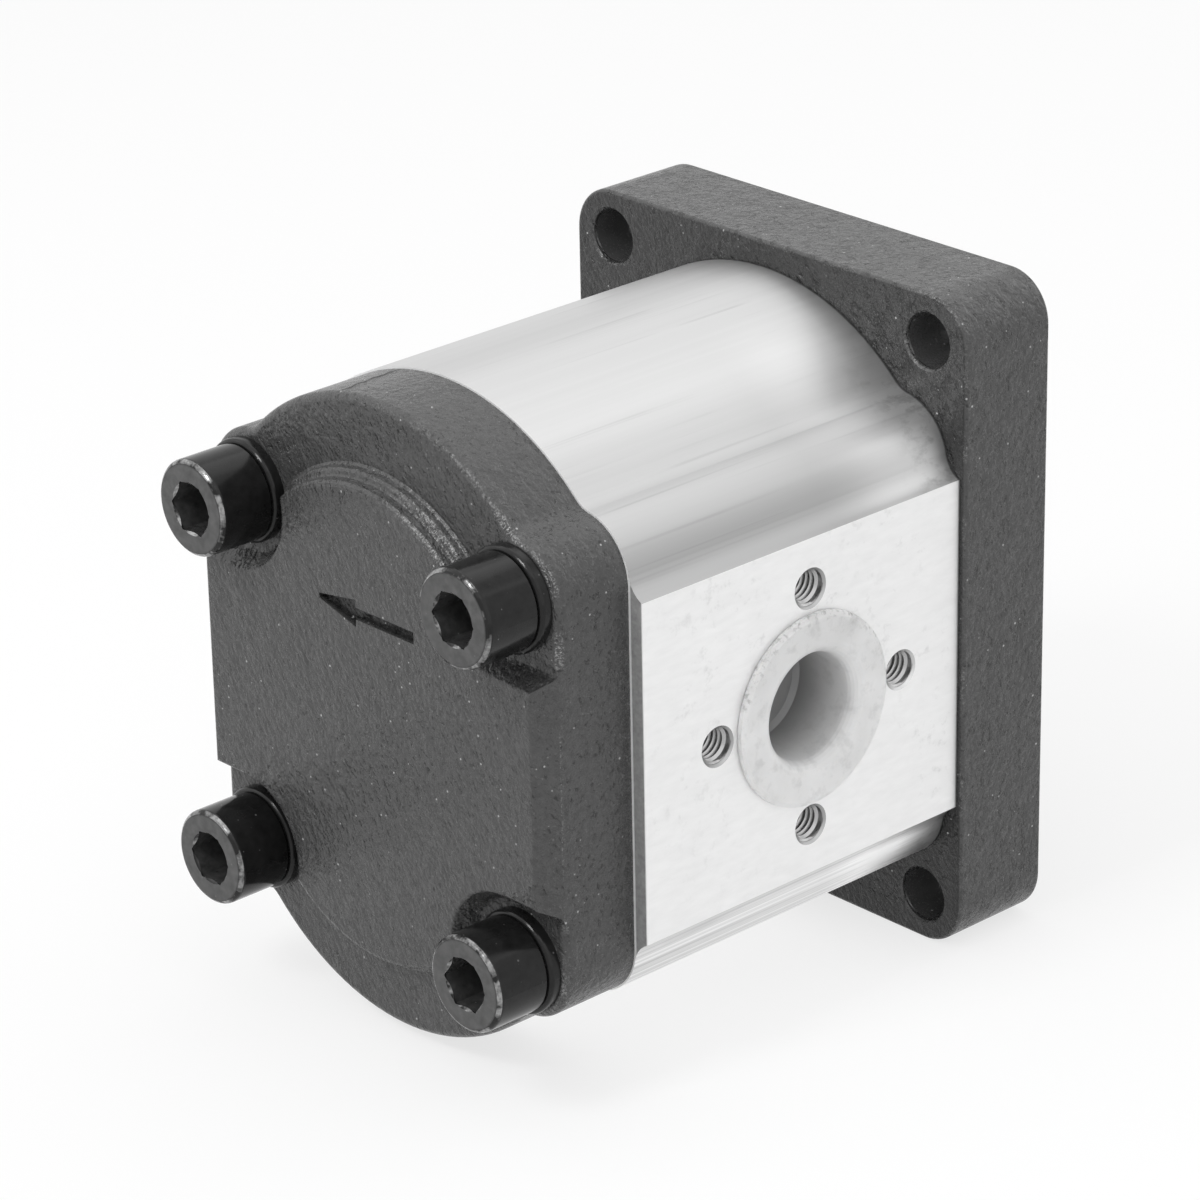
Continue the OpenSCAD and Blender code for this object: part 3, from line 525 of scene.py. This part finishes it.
def add_piece(name, bm, body, material):
    """Object that moves with a body and has one material slot."""
    mesh = bpy.data.meshes.new(name)
    bm.to_mesh(mesh)
    bm.free()
    mesh.materials.append(material)
    piece = bpy.data.objects.new(name, mesh)
    scene.collection.objects.link(piece)
    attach(piece, body)


# ---------------------------------------------------------------- threads
THREAD_STEPS = 36
THREAD_FOOT = 0.44
THREAD_TOP = 0.07
THREAD_RUN_OUT = 0.4
SHARP_ANGLE = math.radians(35)


def helix(name, r_wall, r_crest, pitch, turns, body, material, places):
    """Thread ridges wound inside holes or round a bar, one closed strip for each place.
    A place gives the thread's start and two directions: along the axis, and across it."""
    half = THREAD_FOOT * pitch
    top = THREAD_TOP * pitch
    section = [(r_wall, -half), (r_crest, -top), (r_crest, top), (r_wall, half)]
    last = turns * THREAD_STEPS
    run_out = THREAD_RUN_OUT * THREAD_STEPS
    bm = bmesh.new()
    for start, along, across in places:
        start, along, across = Vector(start), Vector(along), Vector(across)
        third = along.cross(across)
        rings = []
        for i in range(int(last) + 1):
            a = 2 * math.pi * i / THREAD_STEPS
            fade = min(1.0, i / run_out, (last - i) / run_out + 0.02)
            out = math.cos(a) * across + math.sin(a) * third
            rings.append([
                bm.verts.new((start + (pitch * i / THREAD_STEPS + shift) * along
                              + (r_wall + (r - r_wall) * fade) * out) * MM)
                for r, shift in section])
        join_rings(bm, rings)
    bmesh.ops.recalc_face_normals(bm, faces=bm.faces)
    for f in bm.faces:
        f.smooth = True
    for e in bm.edges:
        if len(e.link_faces) == 2 and e.calc_face_angle(0) > SHARP_ANGLE:
            e.smooth = False
    add_piece(name, bm, body, material)


ROUND_PORT = ((PORT_HOLE_R, 0), (0, PORT_HOLE_R), (-PORT_HOLE_R, 0), (0, -PORT_HOLE_R))
for side, name in ((1, "right_port_threads"), (-1, "left_port_threads")):
    holes = [((side * (PORT_FACE_X - THREAD_START), PORT_Y + dy, MIDDLE_Z + dz),
              (-side, 0, 0), (0, 1, 0)) for dy, dz in ROUND_PORT]
    helix(name, THREAD_R + 0.04, THREAD_CORE_R, 1.0, 11.0, "casing",
          alloy_thread, holes)
helix("shaft_thread", SHAFT_THREAD_R - 0.05, SHAFT_THREAD_R + 0.14, 0.75, 3.0, "drive_shaft",
      ground, [((0, SHAFT_THREAD_Y, 0), (0, 1, 0), (1, 0, 0))])


# ---------------------------------------------------------------- parting line
RIDGE_ROOT = -0.08
RIDGE_SHOULDER = 0.75
RIDGE_END = 0.3


def ridge(name, points, half, height, body, material):
    """Low ridge with a rounded top along points that carry their own outward direction."""
    bm = bmesh.new()
    rings = []
    last = len(points) - 1
    for i, (place, outward) in enumerate(points):
        ahead = Vector(points[min(i + 1, last)][0]) - Vector(points[max(i - 1, 0)][0])
        outward = Vector(outward).normalized()
        across = ahead.cross(outward).normalized()
        crest = height * (RIDGE_END if i in (0, last) else 1.0)
        shoulder = RIDGE_SHOULDER * crest
        section = [(-half, RIDGE_ROOT), (-0.5 * half, shoulder), (0, crest),
                   (0.5 * half, shoulder), (half, RIDGE_ROOT)]
        rings.append([bm.verts.new((Vector(place) + a * across + b * outward) * MM)
                      for a, b in section])
    join_rings(bm, rings)
    bmesh.ops.recalc_face_normals(bm, faces=bm.faces)
    for f in bm.faces:
        f.smooth = len(f.verts) == 4
    add_piece(name, bm, body, material)


line = []
for x, y in ((-9.0, -100.3), (-8.9, -98.6), (-9.6, -97.0), (-9.3, -95.2), (-10.0, -93.6),
             (-9.6, -91.6), (-10.1, -89.8), (-9.9, -87.9)):
    up = math.sqrt(COVER_CROWN_R ** 2 - x * x)
    line.append(((x, y, MIDDLE_Z + CROWN_OFFSET + up), (x, 0, up)))
ridge("cover_parting_line", line, 0.22, 0.10, "casing", iron)


# ---------------------------------------------------------------- light, floor, world
LAMP_TARGET = (0.0, -0.05, -0.015)
FLOOR_REACH = 3.0
FLOOR_TONE = 0.85
FLOOR_WHITE_SHARE = 0.72
WORLD_LIGHT = 0.45


def soft_light(name, place, width, height, power):
    """Area lamp aimed at the pump, in metres and watts."""
    lamp = bpy.data.lights.new(name, "AREA")
    lamp.shape = "RECTANGLE"
    lamp.size = width
    lamp.size_y = height
    lamp.energy = power
    holder = bpy.data.objects.new(name, lamp)
    holder.location = place
    aim = Vector(LAMP_TARGET) - Vector(place)
    holder.rotation_euler = aim.to_track_quat("-Z", "Y").to_euler()
    scene.collection.objects.link(holder)


def show_and_light(tree, output, shown, lighting, share=1.0):
    """Rays from the camera, from gloss and through glass see a share of the first shader.
    Rays that carry light meet only the second."""
    seen = tree.nodes.new("ShaderNodeLightPath")
    rays = seen.outputs["Is Camera Ray"]
    for other in ("Is Glossy Ray", "Is Transmission Ray"):
        either = tree.nodes.new("ShaderNodeMath")
        either.operation = "MAXIMUM"
        tree.links.new(rays, either.inputs[0])
        tree.links.new(seen.outputs[other], either.inputs[1])
        rays = either.outputs[0]
    part = tree.nodes.new("ShaderNodeMath")
    part.operation = "MULTIPLY"
    part.inputs[1].default_value = share
    blend = tree.nodes.new("ShaderNodeMixShader")
    tree.links.new(rays, part.inputs[0])
    tree.links.new(part.outputs[0], blend.inputs[0])
    tree.links.new(lighting.outputs[0], blend.inputs[1])
    tree.links.new(shown.outputs[0], blend.inputs[2])
    tree.links.new(blend.outputs[0], tree.nodes.new(output).inputs[0])


def shader(tree, kind, color, strength=None):
    node = tree.nodes.new(kind)
    node.inputs["Color"].default_value = color
    if strength is not None:
        node.inputs["Strength"].default_value = strength
    return node


soft_light("light_top", (-0.1, -0.25, 0.95), 2.0, 2.0, 9.2)
soft_light("light_key", (-0.05, -0.95, 0.95), 0.3, 0.3, 5.0)
soft_light("light_left", (-0.95, -0.75, 0.35), 1.0, 1.0, 1.4)
soft_light("light_right", (0.95, -0.25, 0.30), 1.7, 1.7, 4.5)
soft_light("light_back", (0.2, 1.0, 0.5), 1.1, 1.0, 2.8)

world = bpy.data.worlds.new("studio")
scene.world = world
world.use_nodes = True
world.node_tree.nodes.clear()
show_and_light(world.node_tree, "ShaderNodeOutputWorld",
               shader(world.node_tree, "ShaderNodeBackground", WHITE, 1.0),
               shader(world.node_tree, "ShaderNodeBackground", WHITE, WORLD_LIGHT))

# A pale floor that stays white where it is lit and keeps a soft shadow
paint = bpy.data.materials.new("floor_paint")
paint.use_nodes = True
paint.node_tree.nodes.clear()
show_and_light(paint.node_tree, "ShaderNodeOutputMaterial",
               shader(paint.node_tree, "ShaderNodeEmission", WHITE, 1.0),
               shader(paint.node_tree, "ShaderNodeBsdfDiffuse", grey(FLOOR_TONE)),
               FLOOR_WHITE_SHARE)
floor_mesh = bpy.data.meshes.new("floor")
corners = [(x * FLOOR_REACH, y * FLOOR_REACH, FLOOR_Z * MM)
           for x, y in ((-1, -1), (1, -1), (1, 1), (-1, 1))]
floor_mesh.from_pydata(corners, [], [(0, 1, 2, 3)])
floor_mesh.materials.append(paint)
floor = bpy.data.objects.new("floor", floor_mesh)
scene.collection.objects.link(floor)

scene.view_settings.view_transform = "Standard"
